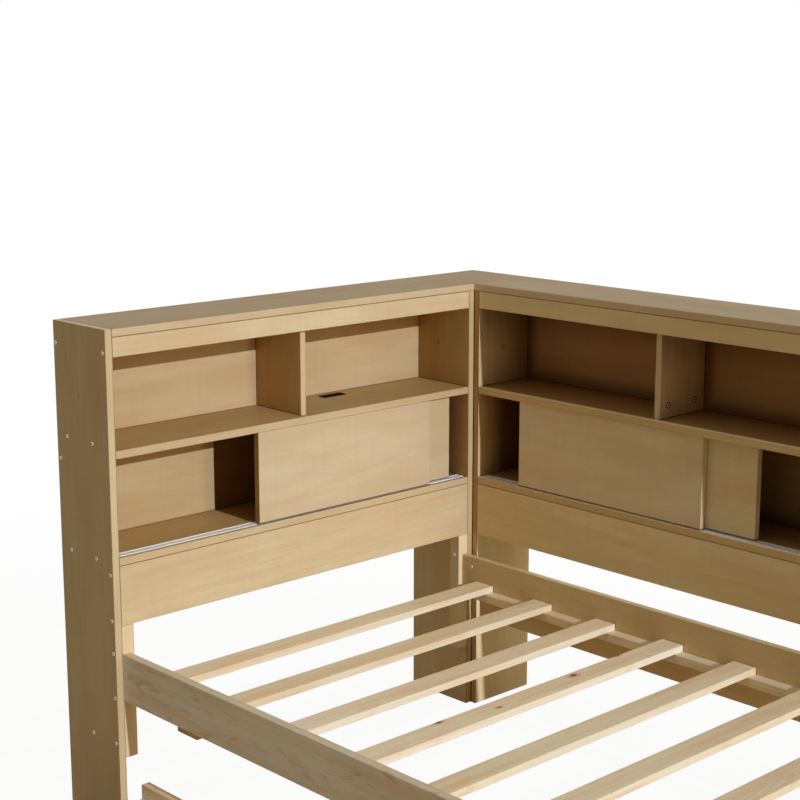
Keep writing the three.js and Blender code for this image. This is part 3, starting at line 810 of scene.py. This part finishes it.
# The outlet let into the head's middle shelf: a flange with a sunk face, one large and two small ports. Ports
# are (distance along from the middle, length, width), and their lip is (inset, height over the face)
outlet = {"corner": 0.0032, "leastCorner": 0.0008, "wall": 0.0026, "flange": 0.0015, "bevel": 0.0005,
          "sunk": 0.0006, "lipShare": 0.8, "cornerSteps": 6,
          "ports": [(-0.0175, 0.0170, 0.0150), (0.0030, 0.0130, 0.0065), (0.0205, 0.0130, 0.0065)],
          "portCorner": 0.0012,
          "portLip": [(0.0, -0.0002), (0.0, 0.0003), (0.0002, 0.0004), (0.0007, 0.0004), (0.0009, 0.0001)]}


def roundedRing(wide, long, corner, height, centre):
    # A rectangle with round corners: each quarter turn of the angle is moved out to its own corner
    steps = outlet["cornerSteps"]
    angle = (np.arange(4)[:, None] * math.pi / 2 + np.linspace(0, math.pi / 2, steps)[None, :]).ravel()
    quarter = np.repeat(np.arange(4), steps)
    signX, signY = np.array([1, -1, -1, 1])[quarter], np.array([1, 1, -1, -1])[quarter]
    x = signX * (wide / 2 - corner) + corner * np.cos(angle)
    y = signY * (long / 2 - corner) + corner * np.sin(angle)
    return np.stack([x + centre[0], y + centre[1], np.full(len(x), height)], -1)


def makeOutlet():
    # Rounded rings, each with an inset and a height: up the body, out and over the flange, and in to the face
    low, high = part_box("power_outlet")
    centre = ((low.x + high.x) / 2, (low.y + high.y) / 2)
    wide, long = high.x - low.x, high.y - low.y
    top, base = high.z, high.z - outlet["flange"]
    face, wall, bevel = top - outlet["sunk"], outlet["wall"], outlet["bevel"]
    steps = [(wall, low.z), (wall, base), (0.0, base), (0.0, top - bevel), (bevel, top),
             (wall * outlet["lipShare"], top), (wall, face)]
    rings = []
    for inset, height in steps:
        corner = max(outlet["corner"] - inset, outlet["leastCorner"])
        rings.append(roundedRing(wide - 2 * inset, long - 2 * inset, corner, height, centre))
    parts = [loft(np.array(rings))]
    for along, length, width in outlet["ports"]:
        spot = (centre[0], centre[1] + along)
        rings = [roundedRing(width - 2 * inset, length - 2 * inset, outlet["portCorner"], face + height, spot)
                 for inset, height in outlet["portLip"]]
        parts.append(loft(np.array(rings)))
    piece = meshFrom("outlet_socket_strip", *joined(parts), outletBlack)
    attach(piece, "daybed")
    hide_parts("power_outlet")


# Trundle wheels: a rounded tread with two grooves, a web with ribs, and a hub on the axle bolt, in metres
wheel = {"shoulder": 0.004, "shoulderSteps": 7, "rim": 0.0065, "rimSunk": 0.0004, "hub": 0.0095,
         "groove": 0.0008, "grooveEdges": (0.0050, 0.0044, 0.0036, 0.0030),
         "chamfer": 0.0008, "fillet": 0.0012, "web": 0.003, "clearance": 0.0003,
         "ribs": 6, "ribFrom": 0.80, "ribSlope": 0.12, "ribSunk": 0.003, "around": 120}
bolt = {"shank": 0.005, "play": 0.0002, "chamfer": 0.0008, "chamferTo": 0.88, "head": 0.98, "around": 32}


def wheelMesh(node):
    # A closed profile turned about X; between hub and rim both faces rise to a rib where cos(ribs t) nears 1
    low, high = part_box(node)
    half, radius = (high.x - low.x) / 2, (high.z - low.z) / 2
    bore, hub, rim = bolt["shank"] + wheel["clearance"], wheel["hub"], radius - wheel["rim"]
    chamfer, fillet, web = wheel["chamfer"], wheel["fillet"], wheel["web"]
    shoulder, groove = wheel["shoulder"], wheel["groove"]
    bend = np.linspace(0, math.pi / 2, wheel["shoulderSteps"])
    flank = np.stack([radius + shoulder * (np.sin(bend) - 1), half + shoulder * (np.cos(bend) - 1)], -1)
    right = [(bore, half), (hub, half), (hub + chamfer, half - chamfer), (hub + fillet, web),
             (rim - fillet, web), (rim - chamfer, half - fillet), (rim, half - wheel["rimSunk"])]
    right += flank.tolist()
    right += list(zip((radius, radius - groove, radius - groove, radius), wheel["grooveEdges"]))
    profile = right + [(r, -d) for r, d in reversed(right)]
    rings = turned(profile, "x", wheel["around"])
    angle = np.linspace(0, 2 * math.pi, wheel["around"], endpoint=False)
    nearRib = np.clip((np.cos(wheel["ribs"] * angle) - wheel["ribFrom"]) / wheel["ribSlope"], 0, 1)
    rib = nearRib * (half - web - wheel["ribSunk"])
    isWeb = np.isclose(np.abs(rings[:, 0, 0]), web)[:, None]
    rings[:, :, 0] += np.sign(rings[:, :, 0]) * isWeb * rib[None, :]
    return loft(rings + np.array((low + high) / 2), hoop=True)


def hexagon(radius, start, stop, centre):
    # A hexagonal head: its edges are chamfered at both ends
    chamfer = bolt["chamfer"] if stop > start else -bolt["chamfer"]
    small = radius * bolt["chamferTo"]
    profile = [(small, start), (radius, start + chamfer), (radius, stop - chamfer), (small, stop)]
    return loft(turned(profile, "x", 6, centre))


def axleMesh(node, wheelNode, boardNode, inward):
    # From the outer end inwards: a head, the board, a washer, the wheel and a nut, with the shank through all
    def ends(name):
        low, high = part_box(name)
        return (low.x, high.x) if inward > 0 else (high.x, low.x)

    low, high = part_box(node)
    centre = (0, (low.y + high.y) / 2, (low.z + high.z) / 2)
    radius = (high.z - low.z) / 2
    (outer, inner), (boardOut, boardIn), (wheelOut, wheelIn) = ends(node), ends(boardNode), ends(wheelNode)
    gap, hole, head = inward * wheel["clearance"], bolt["shank"] + bolt["play"], radius * bolt["head"]
    washerOut, washerIn = boardIn + gap, wheelOut - gap
    washer = [(hole, washerOut), (radius, washerOut), (radius, washerIn), (hole, washerIn)]
    shank = [(bolt["shank"], boardOut - 2 * gap), (bolt["shank"], inner - 2 * gap)]
    return joined([
        hexagon(head, outer, boardOut - gap, centre),
        loft(turned(shank, "x", bolt["around"], centre)),
        loft(turned(washer, "x", bolt["around"], centre), hoop=True),
        hexagon(head, wheelIn + gap, inner, centre),
    ])


def makeWheels():
    for end, inward in (("head", 1), ("foot", -1)):
        for side in ("front", "back"):
            wheelNode, axleNode = f"trundle_{end}_{side}_wheel", f"trundle_{end}_{side}_axle"
            piece = meshFrom(f"{end}_{side}_castor_wheel", *wheelMesh(wheelNode), wheelBlack)
            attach(piece, f"{end}_{side}_wheel")
            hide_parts(wheelNode)
            axle = axleMesh(axleNode, wheelNode, f"trundle_{end}_board", inward)
            piece = meshFrom(f"{end}_{side}_axle_bolt", *axle, zincSteel)
            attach(piece, "trundle")
            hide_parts(axleNode)


makeScrews()
makeCamLocks()
makeOutlet()
makeWheels()
print("screws, cam locks, outlet and wheels made")

# Floor and light: a pale floor that fades to white, a sun from the foot's side, a softbox and a back fill
floor = {"size": 40.0, "colour": (0.66, 0.53, 0.33, 1.0), "white": 0.94, "fadeFrom": 1.6, "fadeTo": 4.0}
sky = {"low": black, "high": (0.49, 0.46, 0.35, 1.0)}
sun = {"place": (4, 0, 3), "toward": (-1.0, 0.0254, -0.366), "strength": 1.74, "angle": 0.8,
       "colour": (0.92, 1.0, 1.05)}
softbox = {"place": (6.0, 1.25, 1.9), "aim": (-0.9, 0.6, 0.7), "size": (0.7, 3.6), "power": 65.0,
           "colour": (1.0, 0.80, 0.53)}
backFill = {"place": (-5.0, 5.5, 0.9), "aim": (0.0, 0.0, 0.6), "size": (3.0, 0.3), "power": 90.0,
            "colour": (1.0, 0.93, 0.84)}


def seenStraight(tree):
    # 1 for rays from the lens, and for those that it sees in metal, gloss or glass
    ray = tree.add("ShaderNodeLightPath").outputs
    seen = tree.math("MAXIMUM", ray["Is Camera Ray"], ray["Is Glossy Ray"])
    return tree.math("MAXIMUM", seen, ray["Is Transmission Ray"])


def makeFloor():
    half = floor["size"] / 2
    points = np.array([(-half, -half, 0), (half, -half, 0), (half, half, 0), (-half, half, 0)])
    material, tree = newMaterial("floor")
    seen = seenStraight(tree)
    shaded = tree.add("ShaderNodeBsdfDiffuse", None, Color=tree.mix(seen, floor["colour"], white))
    glowing = tree.add("ShaderNodeEmission", None, Color=white, Strength=1.0)
    away = tree.vector("LENGTH", tree.add("ShaderNodeTexCoord").outputs["Object"])
    fade = tree.remap(away, floor["fadeFrom"], floor["fadeTo"], floor["white"], 1.0)
    share = tree.math("MULTIPLY", seen, fade)
    both = tree.add("ShaderNodeMixShader", None, i0=share, i1=shaded.outputs[0], i2=glowing.outputs[0])
    tree.add("ShaderNodeOutputMaterial", None, Surface=both.outputs[0])
    ground = meshFrom("floor", points, [[0, 1, 2, 3]], material, False)


def makeWorld():
    # A warm glow that grows with height lights the piece, and the background that is seen is white
    world = bpy.data.worlds.new("studio")
    world.use_nodes = True
    tree = Tree(world.node_tree)
    direction = tree.add("ShaderNodeTexCoord").outputs["Generated"]
    toward = tree.add("ShaderNodeSeparateXYZ", None, Vector=direction)
    glow = tree.mix(tree.math("MAXIMUM", toward.outputs["Z"], 0.0), sky["low"], sky["high"])
    light = tree.add("ShaderNodeBackground", None, Color=glow, Strength=1.0)
    backdrop = tree.add("ShaderNodeBackground", None, Color=white, Strength=1.0)
    seen = seenStraight(tree)
    both = tree.add("ShaderNodeMixShader", None, i0=seen, i1=light.outputs[0], i2=backdrop.outputs[0])
    tree.add("ShaderNodeOutputWorld", None, Surface=both.outputs[0])
    bpy.context.scene.world = world


def makeLamp(name, kind, place, toward, values):
    lamp = bpy.data.lights.new(name, kind)
    for key, value in values.items():
        setattr(lamp, key, value)
    shining = bpy.data.objects.new(name, lamp)
    bpy.context.scene.collection.objects.link(shining)
    shining.location = place
    shining.rotation_euler = Vector(toward).to_track_quat("-Z", "Y").to_euler()


def makeLamps():
    values = {"energy": sun["strength"], "angle": math.radians(sun["angle"]), "color": sun["colour"]}
    makeLamp("sun", "SUN", sun["place"], sun["toward"], values)
    for name, box in (("softbox", softbox), ("back_fill", backFill)):
        wide, tall = box["size"]
        values = {"shape": "RECTANGLE", "size": wide, "size_y": tall, "energy": box["power"],
                  "color": box["colour"]}
        makeLamp(name, "AREA", box["place"], np.subtract(box["aim"], box["place"]), values)


makeFloor()
makeWorld()
makeLamps()
bpy.context.scene.view_settings.view_transform = "Standard"
print("floor and light made")
